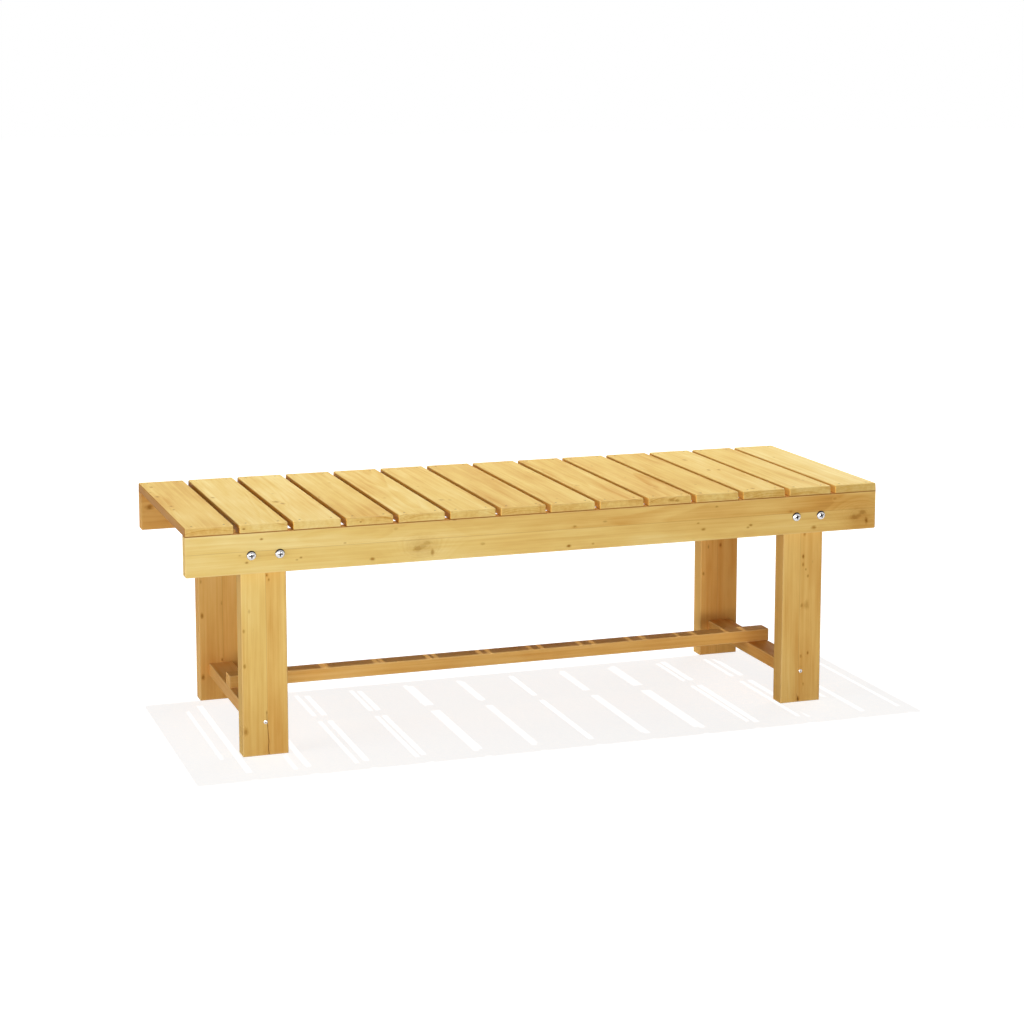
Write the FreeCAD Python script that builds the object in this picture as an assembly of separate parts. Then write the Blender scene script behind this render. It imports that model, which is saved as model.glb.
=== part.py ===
import FreeCAD, Part
import math
import os

# Backless garden bench of planed pine. Slats run front to back across two aprons and are nailed to their
# top edges. Four board legs are bolted behind the aprons, and a low H of stretchers ties the legs.
# Millimetres. +X runs along the seat, +Y to the back, +Z up, origin on the floor under the seat's middle.

# Seat
seat_length = 1100.0
seat_depth = 380.0
seat_height = 350.0
slat_count = 14
slat_gap = 8.0
slat_thickness = 13.0
slat_round = 2.5

# Aprons, on edge under the slat ends
apron_height = 60.0
apron_thickness = 18.0
apron_ease = 1.2
apron_corner = 4.0

# Legs, boards with the wide face to the front
leg_width = 68.0
leg_thickness = 28.0
leg_inset = 83.0
leg_ease = 1.2

# Stretchers: one flat at each end, and a long one across the middle on top of them
end_stretcher_width = 38.0
end_stretcher_thickness = 20.0
end_stretcher_lift = 40.0
long_stretcher_width = 28.0
long_stretcher_thickness = 20.0
stretcher_ease = 1.5

# Bolts through apron and leg, two at each leg, with a washer and a nut inside the leg
bolt_diameter = 6.0
bolt_edge_inset = 13.0
bolt_drop = 33.0
bolt_stickout = 2.4
bolt_head_diameter = 14.0
bolt_head_rim = 1.4
bolt_head_height = 3.6
bolt_head_flat = 8.4
bolt_shoulder_steps = 3
bolt_sides = 12
bolt_recess_width = 1.6
bolt_recess_span = 6.6
bolt_recess_depth = 2.2
bolt_clearance = 0.25
washer_diameter = 12.0
washer_thickness = 1.6
nut_across_flats = 10.0
nut_height = 5.0
nut_sides = 6
nut_clearance = 0.05

# Wood screws: leg into end stretcher, and end stretcher up into long stretcher
leg_screw_length = 62.0
rail_screw_length = 34.0
screw_diameter = 3.5
screw_head_diameter = 6.4
screw_head_depth = 2.2
screw_tip_length = 5.0
screw_tip_diameter = 0.6
screw_recess_width = 0.9
screw_recess_span = 3.4
screw_recess_depth = 1.4
screw_sides = 8
screw_clearance = 0.05

# Nails, two at each end of a slat, driven flush
nail_length = 32.0
nail_diameter = 2.4
nail_head_diameter = 4.4
nail_head_depth = 1.2
nail_tip_length = 4.0
nail_tip_diameter = 0.5
nail_sides = 6
nail_edge_inset = 12.0
nail_line_share = 0.65
nail_clearance = 0.05

# How far a cutting tool runs past the face that it opens
overrun = 1.0

# How nearly an edge follows an axis when a blank's edges are picked
along_share = 0.999

# Places that follow from the sizes
slat_width = (seat_length - (slat_count - 1) * slat_gap) / slat_count
slat_pitch = slat_width + slat_gap
apron_top = seat_height - slat_thickness
apron_inner_y = seat_depth / 2 - apron_thickness
leg_inner_y = apron_inner_y - leg_thickness
leg_centre_x = seat_length / 2 - leg_inset - leg_width / 2
end_stretcher_top = end_stretcher_lift + end_stretcher_thickness
end_stretcher_middle = end_stretcher_lift + end_stretcher_thickness / 2
long_stretcher_length = 2 * leg_centre_x + end_stretcher_width
bolt_height = apron_top - bolt_drop
bolt_offset = leg_width / 2 - bolt_edge_inset
nail_line_y = seat_depth / 2 - nail_line_share * apron_thickness

X_AXIS = FreeCAD.Vector(1, 0, 0)
Y_AXIS = FreeCAD.Vector(0, 1, 0)
Z_AXIS = FreeCAD.Vector(0, 0, 1)
ORIGIN = FreeCAD.Vector(0, 0, 0)
SIDES = (-1, 1)


def moved(shape, x, y, z):
    """A copy of the shape, carried by x, y, z."""
    copy = shape.copy()
    copy.translate(FreeCAD.Vector(x, y, z))
    return copy


def edges_along(shape, axis):
    """The straight edges of a blank that run along one axis."""
    found = []
    for edge in shape.Edges:
        run = edge.Vertexes[-1].Point - edge.Vertexes[0].Point
        if abs(run.dot(axis)) > run.Length * along_share:
            found.append(edge)
    return found


def blank_board(size_x, size_y, size_z):
    """A sawn board standing on z = 0, centred in x and y."""
    return Part.makeBox(size_x, size_y, size_z, FreeCAD.Vector(-size_x / 2, -size_y / 2, 0))


def eased_board(size_x, size_y, size_z, grain, ease):
    """A planed board with its four edges along the grain taken off at an angle."""
    blank = blank_board(size_x, size_y, size_z)
    return blank.makeChamfer(ease, edges_along(blank, grain))


def turned(profile, sides):
    """A turned solid about +Z in flat facets, from (radius, height) points that run from foot to top."""
    rings = []
    for radius, height in profile:
        ring = []
        for step in range(sides):
            angle = 2 * math.pi * step / sides
            ring.append(FreeCAD.Vector(radius * math.cos(angle), radius * math.sin(angle), height))
        rings.append(ring)
    outlines = [rings[0], rings[-1]]
    for lower, upper in zip(rings, rings[1:]):
        for step in range(sides):
            outlines.append([lower[step - 1], lower[step], upper[step], upper[step - 1]])
    shell = Part.Shell([Part.Face(Part.makePolygon(outline + outline[:1])) for outline in outlines])
    solid = Part.Solid(shell)
    if solid.Volume < 0:
        solid.reverse()
    return solid


def cross_recess(width, span, depth, top):
    """The cutter for a cross recess, sunk by depth below top."""
    arms = []
    for size_x, size_y in ((span, width), (width, span)):
        corner = FreeCAD.Vector(-size_x / 2, -size_y / 2, top - depth)
        arms.append(Part.makeBox(size_x, size_y, depth + overrun, corner))
    return arms[0].fuse(arms[1])


def screw_body(length, grow):
    """A countersunk wood screw along -Z with its head's face at z = 0, or its hole when grow is over zero."""
    shank = screw_diameter / 2 + grow
    profile = [
        (screw_tip_diameter / 2 + grow, -length - grow),
        (shank, screw_tip_length - length),
        (shank, -screw_head_depth),
        (screw_head_diameter / 2 + grow, 0),
    ]
    return turned(profile, screw_sides)


def wood_screw(length):
    """A countersunk wood screw along -Z with a cross recess in its head."""
    recess = cross_recess(screw_recess_width, screw_recess_span, screw_recess_depth, 0)
    return screw_body(length, 0).cut(recess)


def nail_body(grow):
    """A flush-driven nail along -Z with a small cone head at z = 0, or its hole when grow is over zero."""
    shank = nail_diameter / 2 + grow
    profile = [
        (nail_tip_diameter / 2 + grow, -nail_length - grow),
        (shank, nail_tip_length - nail_length),
        (shank, -nail_head_depth),
        (nail_head_diameter / 2 + grow, 0),
    ]
    return turned(profile, nail_sides)


def nail_places(slat_x):
    """The four places where one slat is nailed."""
    reach = slat_width / 2 - nail_edge_inset
    return [(slat_x + side * reach, end * nail_line_y) for end in SIDES for side in SIDES]


def slat_centre(index):
    """The x of a slat's middle, counted from the left end."""
    return -seat_length / 2 + slat_width / 2 + index * slat_pitch


def all_nail_places():
    """Every nail's x and y, slat by slat."""
    return [place for index in range(slat_count) for place in nail_places(slat_centre(index))]


def bolt_places():
    """The x of each bolt along one apron."""
    return [side * leg_centre_x + step * bolt_offset for side in SIDES for step in SIDES]


def facing_out(shape, end):
    """Turns a fastener made along -Z so that its head faces out of the front or the rear of the bench."""
    copy = shape.copy()
    copy.rotate(ORIGIN, X_AXIS, -end * 90)
    return copy


def bolt_bore(length):
    """The cutter for a bolt hole along +Y, starting one overrun ahead of y = 0."""
    radius = bolt_diameter / 2 + bolt_clearance
    return facing_out(turned([(radius, -overrun), (radius, length + overrun)], bolt_sides), 1)


def make_slat(index):
    """One seat slat, its long edges rounded over, with its four nail holes."""
    blank = blank_board(slat_width, seat_depth, slat_thickness)
    slat = blank.makeFillet(slat_round, edges_along(blank, Y_AXIS))
    slat = moved(slat, slat_centre(index), 0, apron_top)
    hole = nail_body(nail_clearance)
    return slat.cut([moved(hole, x, y, seat_height) for x, y in nail_places(slat_centre(index))])


def make_apron(end):
    """The front or rear apron: lower corners rounded, face edges eased, bored for bolts and nails."""
    blank = blank_board(seat_length, apron_thickness, apron_height)
    low_corners = [edge for edge in edges_along(blank, Y_AXIS) if edge.CenterOfMass.z < apron_height / 2]
    blank = blank.makeFillet(apron_corner, low_corners)
    apron = blank.makeChamfer(apron_ease, edges_along(blank, X_AXIS))
    apron_y = end * (apron_inner_y + apron_thickness / 2)
    apron = moved(apron, 0, apron_y, apron_top - apron_height)
    bore = bolt_bore(apron_thickness)
    cutters = [moved(bore, x, apron_y - apron_thickness / 2, bolt_height) for x in bolt_places()]
    hole = nail_body(nail_clearance)
    cutters += [moved(hole, x, y, seat_height) for x, y in all_nail_places() if y * end > 0]
    return apron.cut(cutters)


def make_leg(side, end):
    """One leg, bored for its two apron bolts and for the screw into the end stretcher."""
    leg = eased_board(leg_width, leg_thickness, apron_top, Z_AXIS, leg_ease)
    leg_y = end * (leg_inner_y + leg_thickness / 2)
    leg = moved(leg, side * leg_centre_x, leg_y, 0)
    bore = bolt_bore(leg_thickness)
    bolt_xs = [x for x in bolt_places() if x * side > 0]
    cutters = [moved(bore, x, leg_y - leg_thickness / 2, bolt_height) for x in bolt_xs]
    cutters.append(leg_screw_at(screw_body(leg_screw_length, screw_clearance), side, end))
    return leg.cut(cutters)


def leg_screw_at(shape, side, end):
    """Carries a leg screw, or its hole, to its place low on a leg."""
    return moved(facing_out(shape, end), side * leg_centre_x, end * apron_inner_y, end_stretcher_middle)


def rail_screw_at(shape, side):
    """Carries the screw under a stretcher crossing, or its hole, to its place, pointing up."""
    upright = shape.copy()
    upright.rotate(ORIGIN, X_AXIS, 180)
    return moved(upright, side * leg_centre_x, 0, end_stretcher_lift)


def make_end_stretcher(side):
    """The flat stretcher between the front and rear leg at one end."""
    rail = eased_board(end_stretcher_width, 2 * leg_inner_y, end_stretcher_thickness, Y_AXIS, stretcher_ease)
    rail = moved(rail, side * leg_centre_x, 0, end_stretcher_lift)
    hole = screw_body(leg_screw_length, screw_clearance)
    cutters = [leg_screw_at(hole, side, end) for end in SIDES]
    cutters.append(rail_screw_at(screw_body(rail_screw_length, screw_clearance), side))
    return rail.cut(cutters)


def make_long_stretcher():
    """The stretcher along the bench, resting on both end stretchers with its ends flush outside."""
    rail = eased_board(
        long_stretcher_length,
        long_stretcher_width,
        long_stretcher_thickness,
        X_AXIS,
        stretcher_ease,
    )
    rail = moved(rail, 0, 0, end_stretcher_top)
    hole = screw_body(rail_screw_length, screw_clearance)
    return rail.cut([rail_screw_at(hole, side) for side in SIDES])


def make_bolt():
    """A pan-head bolt along -Z, its head seated at z = 0, with a cross recess."""
    grip = apron_thickness + leg_thickness + washer_thickness + nut_height + bolt_stickout
    profile = [(bolt_diameter / 2, -grip), (bolt_diameter / 2, 0), (bolt_head_diameter / 2, 0)]
    for step in range(bolt_shoulder_steps + 1):
        turn = math.pi / 2 * step / bolt_shoulder_steps
        radius = bolt_head_flat / 2 + (bolt_head_diameter - bolt_head_flat) / 2 * math.cos(turn)
        profile.append((radius, bolt_head_rim + (bolt_head_height - bolt_head_rim) * math.sin(turn)))
    recess = cross_recess(bolt_recess_width, bolt_recess_span, bolt_recess_depth, bolt_head_height)
    return turned(profile, bolt_sides).cut(recess)


def bored(blank, radius, height):
    """A washer or nut blank, standing on z = 0, with its hole."""
    return blank.cut(turned([(radius, -overrun), (radius, height + overrun)], bolt_sides))


def make_washer():
    """A flat washer standing on z = 0."""
    disc = turned([(washer_diameter / 2, 0), (washer_diameter / 2, washer_thickness)], bolt_sides)
    return bored(disc, bolt_diameter / 2 + bolt_clearance, washer_thickness)


def make_nut():
    """A hexagon nut standing on z = 0."""
    corner = nut_across_flats / 2 / math.cos(math.pi / nut_sides)
    blank = turned([(corner, 0), (corner, nut_height)], nut_sides)
    return bored(blank, bolt_diameter / 2 + nut_clearance, nut_height)


def at_every_bolt(shape, depth_y, head_out):
    """Copies of a bolt, washer or nut at every bolt of both aprons, depth_y from the bench's middle."""
    copies = []
    for end in SIDES:
        turn = end if head_out else -end
        for x in bolt_places():
            copies.append(moved(facing_out(shape, turn), x, end * depth_y, bolt_height))
    return Part.makeCompound(copies)


def bench():
    """Every piece of the bench by its name."""
    pieces = {}
    for index in range(slat_count):
        pieces["slat_%02d" % (index + 1)] = make_slat(index)
    for end, end_name in zip(SIDES, ("front", "rear")):
        pieces[end_name + "_apron"] = make_apron(end)
        for side, side_name in zip(SIDES, ("left", "right")):
            pieces["leg_%s_%s" % (end_name, side_name)] = make_leg(side, end)
    for side, side_name in zip(SIDES, ("left", "right")):
        pieces["end_stretcher_" + side_name] = make_end_stretcher(side)
    pieces["long_stretcher"] = make_long_stretcher()
    pieces["apron_bolts"] = at_every_bolt(make_bolt(), seat_depth / 2, True)
    pieces["bolt_washers"] = at_every_bolt(make_washer(), leg_inner_y, False)
    pieces["bolt_nuts"] = at_every_bolt(make_nut(), leg_inner_y - washer_thickness, False)
    leg_screw = wood_screw(leg_screw_length)
    pieces["leg_screws"] = Part.makeCompound(
        [leg_screw_at(leg_screw, side, end) for side in SIDES for end in SIDES]
    )
    rail_screw = wood_screw(rail_screw_length)
    pieces["rail_screws"] = Part.makeCompound([rail_screw_at(rail_screw, side) for side in SIDES])
    nail = nail_body(0)
    pieces["slat_nails"] = Part.makeCompound([moved(nail, x, y, seat_height) for x, y in all_nail_places()])
    return pieces


os.makedirs("parts", exist_ok=True)
for name, shape in bench().items():
    shape.exportStep("parts/" + name + ".step")
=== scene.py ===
import math
import random

import bmesh
import bpy
from mathutils import Euler, Matrix, Vector


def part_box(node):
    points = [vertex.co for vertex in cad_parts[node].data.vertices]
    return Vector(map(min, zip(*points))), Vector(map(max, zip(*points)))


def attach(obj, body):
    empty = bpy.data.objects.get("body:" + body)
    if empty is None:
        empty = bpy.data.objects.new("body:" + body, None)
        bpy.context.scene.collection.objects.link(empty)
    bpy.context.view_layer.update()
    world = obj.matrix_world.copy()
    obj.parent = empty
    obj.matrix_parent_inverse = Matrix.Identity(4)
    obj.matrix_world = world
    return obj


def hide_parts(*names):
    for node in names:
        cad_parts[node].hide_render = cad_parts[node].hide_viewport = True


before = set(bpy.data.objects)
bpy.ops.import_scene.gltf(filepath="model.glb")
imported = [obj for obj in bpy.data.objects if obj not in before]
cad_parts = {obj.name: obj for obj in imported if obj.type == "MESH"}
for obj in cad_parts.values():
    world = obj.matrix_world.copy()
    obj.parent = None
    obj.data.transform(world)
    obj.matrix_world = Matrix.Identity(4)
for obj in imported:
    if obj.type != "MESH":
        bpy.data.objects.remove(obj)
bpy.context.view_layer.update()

# Legs
# Four upright boards of clear-varnished pine, each glued up from two strips side by side.
# They are planed, eased along the edges, sawn square at the foot and bolted behind the aprons.

MM = 0.001
BODY = "root"
X, Y, Z = range(3)


def wire(tree, kind, inputs=(), **settings):
    """Adds a node to a tree. Its inputs go by place or by name, and are values or other nodes' outputs.
    An input that joins several shapes gets a list of them."""
    node = tree.nodes.new(kind)
    for name, value in settings.items():
        setattr(node, name, value)
    pairs = inputs.items() if isinstance(inputs, dict) else enumerate(inputs)
    for key, value in pairs:
        socket = node.inputs[key]
        for one in value if socket.is_multi_input else [value]:
            if isinstance(one, bpy.types.NodeSocket):
                tree.links.new(one, socket)
            else:
                socket.default_value = one
    return node


def result(tree, kind, inputs=(), **settings):
    """The first output of a node added to a tree."""
    return wire(tree, kind, inputs, **settings).outputs[0]


def sums(tree, operation, *values, clamp=False):
    """The result of one sum on numbers."""
    return result(tree, "ShaderNodeMath", values, operation=operation, use_clamp=clamp)


def times(tree, first, second, plus=0.0, clamp=False):
    """Two numbers multiplied, and a third one added."""
    return sums(tree, "MULTIPLY_ADD", first, second, plus, clamp=clamp)


def vector_sums(tree, operation, *values):
    """The result of one sum on vectors."""
    node = wire(tree, "ShaderNodeVectorMath", values, operation=operation)
    return node.outputs["Value" if operation in ("LENGTH", "DOT_PRODUCT") else "Vector"]


def vector(tree, *numbers):
    """Three numbers as one vector."""
    return result(tree, "ShaderNodeCombineXYZ", numbers)


def numbers_of(tree, whole):
    """A vector's three numbers."""
    return wire(tree, "ShaderNodeSeparateXYZ", [whole]).outputs


def step_between(tree, value, low, high, to_low=0.0, to_high=1.0):
    """A soft step from to_low to to_high as the value goes from low to high."""
    places = (value, low, high, to_low, to_high)
    return result(tree, "ShaderNodeMapRange", places, interpolation_type="SMOOTHSTEP")


def streaks(tree, place, stretch, seed, detail):
    """Noise drawn out along the grain, about 0.5 on the mean: (number, colour)."""
    stretched = vector_sums(tree, "MULTIPLY", place, stretch)
    inputs = {"Vector": stretched, "W": seed, "Scale": 1.0, "Detail": detail, "Roughness": 0.55}
    return wire(tree, "ShaderNodeTexNoise", inputs, noise_dimensions="4D").outputs


def mixed(tree, share, first, second, blend="MIX"):
    """Two colours mixed by a share."""
    inputs = {0: share, 6: first, 7: second}
    return wire(tree, "ShaderNodeMix", inputs, data_type="RGBA", blend_type=blend).outputs[2]


def new_group(name, takes, gives, kind="ShaderNodeTree"):
    """An empty node group with named sockets: (tree, its inputs by name, its output node)."""
    tree = bpy.data.node_groups.new(name, kind)
    for direction, sockets in (("INPUT", takes), ("OUTPUT", gives)):
        for label, socket in sockets:
            tree.interface.new_socket(label, in_out=direction, socket_type="NodeSocket" + socket)
    entry = tree.nodes.new("NodeGroupInput")
    return tree, entry.outputs, tree.nodes.new("NodeGroupOutput")


def make_knot_group():
    """One knot: bent rings, a brown halo and a dark heart. It reaches furthest where its run is least."""
    marks = [("Bend", "Float"), ("Halo", "Float"), ("Heart", "Float")]
    takes = [("Place", "Vector"), ("Centre", "Vector"), ("Run", "Vector"),
             ("Radius", "Float"), ("Depth", "Float")]
    tree, given, out = new_group("pine_knot", takes + marks, marks)
    away = vector_sums(tree, "SUBTRACT", given["Place"], given["Centre"])
    reach = vector_sums(tree, "LENGTH", vector_sums(tree, "MULTIPLY", away, given["Run"]))
    reach = sums(tree, "DIVIDE", reach, given["Radius"])
    frayed = streaks(tree, given["Place"], (130.0, 240.0, 240.0), given["Radius"], 3.0)[0]
    ragged = sums(tree, "ADD", reach, times(tree, frayed, 1.6, -0.8))
    strong = times(tree, given["Depth"], given["Depth"])
    heart = times(tree, step_between(tree, ragged, 1.1, 0.35), strong)
    halo = times(tree, step_between(tree, ragged, 2.0, 0.5), given["Depth"])
    fall = sums(tree, "EXPONENT", times(tree, times(tree, reach, reach), -0.22))
    bend = times(tree, times(tree, fall, given["Radius"]), 1.2)
    tree.links.new(sums(tree, "ADD", given["Bend"], bend), out.inputs["Bend"])
    tree.links.new(sums(tree, "MAXIMUM", given["Halo"], halo), out.inputs["Halo"])
    tree.links.new(sums(tree, "MAXIMUM", given["Heart"], heart), out.inputs["Heart"])
    return tree


def make_grain_group():
    """Varnished pine as a solid: rings about a pith, fibres along the grain, specks and eased edges, with
    painted light and shade on its sides, arrises and seams.
    """
    vectors = ("Place", "Pith", "Half Size", "Seam Way")
    numbers = ("Seed", "Ring", "Figure", "Tone", "Tone Slope", "Joint", "Strip Tone", "Side Shade",
               "Side Dark", "End Shade", "Warm", "Bend", "Halo", "Heart")
    takes = [(label, "Vector") for label in vectors] + [(label, "Float") for label in numbers]
    gives = [("Color", "Color"), ("Roughness", "Float"), ("Height", "Float")]
    tree, given, out = new_group("pine_grain", takes, gives)

    # The strip, the nearness of the sawn ends and the narrow sides, and a painted drift of light along the
    # board, paler at one end and darker at the other
    place = given["Place"]
    half_size = given["Half Size"]
    along, across, deep = numbers_of(tree, place)
    strip = sums(tree, "GREATER_THAN", across, given["Joint"])
    seed = times(tree, strip, 7.3, given["Seed"])
    inside = vector_sums(tree, "SUBTRACT", half_size, vector_sums(tree, "ABSOLUTE", place))
    from_end, from_side, from_face = numbers_of(tree, inside)
    sawn = step_between(tree, from_end, 0.9 * MM, 0.3 * MM)
    narrow = step_between(tree, from_side, 1.4 * MM, 0.3 * MM)
    slope = times(tree, along, given["Tone Slope"])
    light_drift = times(tree, slope, sums(tree, "SUBTRACT", 1.0, narrow))

    # Rings, which wander about the pith and differ in width and strength
    wander = streaks(tree, place, (2.2, 9.0, 9.0), seed, 2.0)["Color"]
    wander = vector_sums(tree, "SUBTRACT", wander, (0.5, 0.5, 0.5))
    bent = vector_sums(tree, "ADD", place, vector_sums(tree, "MULTIPLY", wander, (0.0, 16 * MM, 16 * MM)))
    bent = numbers_of(tree, bent)
    lean, pith_across, pith_deep = numbers_of(tree, given["Pith"])
    from_pith_y = sums(tree, "SUBTRACT", bent[Y], times(tree, strip, 41 * MM, pith_across))
    from_pith_z = sums(tree, "SUBTRACT", bent[Z], times(tree, lean, along, pith_deep))
    square = times(tree, from_pith_y, from_pith_y, times(tree, from_pith_z, from_pith_z))
    radius = sums(tree, "ADD", sums(tree, "SQRT", square), given["Bend"])
    count = sums(tree, "DIVIDE", radius, given["Ring"])
    swing = {"W": times(tree, count, 0.41, seed), "Scale": 1.0, "Detail": 1.0}
    uneven = result(tree, "ShaderNodeTexNoise", swing, noise_dimensions="1D")
    count = times(tree, uneven, 2.8, count)
    ring = sums(tree, "FLOOR", count)
    part = sums(tree, "SUBTRACT", count, ring)
    toss = {"W": sums(tree, "ADD", ring, seed)}
    chance = result(tree, "ShaderNodeTexWhiteNoise", toss, noise_dimensions="1D")
    strength = times(tree, chance, 0.9, 0.1)
    late = times(tree, step_between(tree, part, 0.15, 0.85), step_between(tree, part, 1.0, 0.88))
    late = times(tree, late, strength)

    # Fibres, streaks and soft clouds of tone along the grain
    fine = streaks(tree, place, (16.0, 1300.0, 1300.0), seed, 2.0)[0]
    broad = streaks(tree, place, (3.4, 170.0, 170.0), seed, 3.0)[0]
    cloud = streaks(tree, place, (6.5, 26.0, 26.0), sums(tree, "ADD", seed, 3.1), 3.0)[0]
    fade = streaks(tree, place, (2.4, 9.0, 9.0), sums(tree, "ADD", seed, 5.7), 1.0)[0]
    figure = times(tree, given["Figure"], step_between(tree, fade, 0.3, 0.65, 0.25, 1.0))
    figure = times(tree, sawn, 0.4, figure)
    shade = times(tree, late, figure, given["Tone"])
    for noise, weight in ((fine, 0.46), (broad, 1.0), (cloud, 1.45)):
        shade = sums(tree, "ADD", shade, times(tree, noise, weight, -weight / 2))
    shade = sums(tree, "ADD", shade, light_drift)
    shade = times(tree, strip, given["Strip Tone"], shade)
    ramp = wire(tree, "ShaderNodeValToRGB", [times(tree, shade, 0.5, 0.3, clamp=True)])
    stops = ramp.color_ramp.elements
    straw = (0.92, 0.735, 0.32, 1)
    honey = (0.81, 0.57, 0.18, 1)
    amber = (0.66, 0.37, 0.087, 1)
    russet = (0.38, 0.15, 0.026, 1)
    tones = ((0.0, straw), (0.3, honey), (0.6, amber), (1.0, russet))
    while len(stops) < len(tones):
        stops.new(0.5)
    for stop, (spot, colour) in zip(stops, tones):
        stop.position = spot
        stop.color = colour
    # A warm tint, in random patches and as much as each board's Warm asks; on boards that stand in shade it
    # stands in for the warm light bounced off the wood round them, and the painted drift of light tints it
    # too
    warm = times(tree, step_between(tree, fade, 0.45, 0.75), 0.12, given["Warm"])
    warm = sums(tree, "ADD", warm, light_drift)
    warm = times(tree, strip, given["Strip Tone"], warm)
    warm_tone_and_bounce = (1.0, 0.79, 0.69, 1)
    colour = mixed(tree, warm, ramp.outputs[0], warm_tone_and_bounce, "MULTIPLY")

    # The glue line, then knots, then small brown specks strewn through the wood
    glue_brown = (0.42, 0.19, 0.045, 1)
    knot_halo = (0.57, 0.38, 0.14, 1)
    knot_heart = (0.46, 0.33, 0.17, 1)
    speck_brown = (0.38, 0.26, 0.14, 1)
    off_joint = sums(tree, "ABSOLUTE", sums(tree, "SUBTRACT", across, given["Joint"]))
    glue = times(tree, step_between(tree, off_joint, 0.7 * MM, 0.2 * MM), 0.3)
    colour = mixed(tree, glue, colour, glue_brown)
    colour = mixed(tree, times(tree, given["Halo"], 0.85), colour, knot_halo, "MULTIPLY")
    colour = mixed(tree, times(tree, given["Heart"], 0.8), colour, knot_heart, "MULTIPLY")
    strewn = vector_sums(tree, "MULTIPLY", place, (13.0, 30.0, 30.0))
    strewn = vector_sums(tree, "ADD", strewn, vector(tree, seed, seed, 0.0))
    near = wire(tree, "ShaderNodeTexVoronoi", {"Vector": strewn, "Scale": 1.0}).outputs["Distance"]
    speck = times(tree, step_between(tree, near, 0.075, 0.02), step_between(tree, cloud, 0.48, 0.56))
    colour = mixed(tree, times(tree, speck, 0.75), colour, speck_brown, "MULTIPLY")

    # Arrises, where two faces are near, are paler, but not along a seam: partly varnish rubbed thin by
    # handling and partly a painted highlight on the rounded edge
    worn_and_highlight_pale = (0.93, 0.74, 0.38, 1)
    nearer = sums(tree, "MINIMUM", from_end, from_side)
    further = sums(tree, "MAXIMUM", from_end, from_side)
    edge = sums(tree, "MAXIMUM", nearer, sums(tree, "MINIMUM", further, from_face))
    to_seam = vector_sums(tree, "SUBTRACT", half_size, place)
    to_seam = vector_sums(tree, "DOT_PRODUCT", given["Seam Way"], to_seam)
    no_seam = sums(tree, "SUBTRACT", 1.0, vector_sums(tree, "LENGTH", given["Seam Way"]))
    seam = step_between(tree, sums(tree, "ADD", to_seam, no_seam), 1.3 * MM, 0.5 * MM)
    wear_and_highlight = times(tree, step_between(tree, edge, 3.0 * MM, 0.4 * MM), broad)
    wear_and_highlight = times(tree, wear_and_highlight, sums(tree, "SUBTRACT", 1.0, seam))
    colour = mixed(tree, times(tree, wear_and_highlight, 0.45), colour, worn_and_highlight_pale)

    # Sawn ends, which drink the varnish, and narrow sides, which get painted shade, a painted lighter side,
    # or in a gap a painted amber glow of bounced light over painted shade
    end_grain = (0.86, 0.78, 0.66, 1)
    side_shade_brown = (0.54, 0.36, 0.18, 1)
    painted_light_pine = (0.88, 0.53, 0.16, 1)
    gap_glow_amber = (0.97, 0.57, 0.125, 1)
    gap_shade_russet = (0.55, 0.24, 0.024, 1)
    seam_shade_brown = (0.36, 0.13, 0.025, 1)
    colour = mixed(tree, times(tree, sawn, given["End Shade"]), colour, end_grain, "MULTIPLY")
    # Painted shade down the narrow sides, stronger towards the end that the light slope makes paler, which
    # on the legs is the top under the seat
    darkened = times(tree, given["Side Dark"], times(tree, slope, -6.0, 1.0))
    colour = mixed(tree, times(tree, narrow, darkened), colour, side_shade_brown, "MULTIPLY")
    side = times(tree, narrow, given["Side Shade"])
    # A negative Side Shade paints the narrow sides lighter, as if lit from the side
    colour = mixed(tree, times(tree, side, -1.0, clamp=True), colour, painted_light_pine)
    above_foot = sums(tree, "ADD", deep, numbers_of(tree, half_size)[Z])
    # In a gap the side gets a painted amber glow of bounced light near the top, and painted shade deeper
    # down
    gap_glow = step_between(tree, above_foot, 0.6 * MM, 2.0 * MM, 0.0, 1.45)
    gap_glow = times(tree, side, gap_glow, clamp=True)
    colour = mixed(tree, gap_glow, colour, gap_glow_amber)
    gap_shade = times(tree, sums(tree, "POWER", side, 4.0), gap_glow)
    gap_shade = times(tree, gap_shade, step_between(tree, above_foot, 3.8 * MM, 5.8 * MM))
    colour = mixed(tree, gap_shade, colour, gap_shade_russet)
    # Painted shade darkens the edge where one board lies on another: the slats' foot and the aprons' top
    colour = mixed(tree, times(tree, seam, 0.8), colour, seam_shade_brown)
    tree.links.new(colour, out.inputs["Color"])

    gloss = times(tree, wear_and_highlight, 0.14, times(tree, fine, 0.16, 0.42))
    tree.links.new(times(tree, late, 0.05, gloss), out.inputs["Roughness"])
    height = times(tree, late, 0.3, times(tree, fine, 0.5))
    height = times(tree, speck, -0.5, height)
    tree.links.new(times(tree, given["Heart"], -0.6, height), out.inputs["Height"])
    return tree


knot_group = make_knot_group()
grain_group = make_grain_group()


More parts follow.
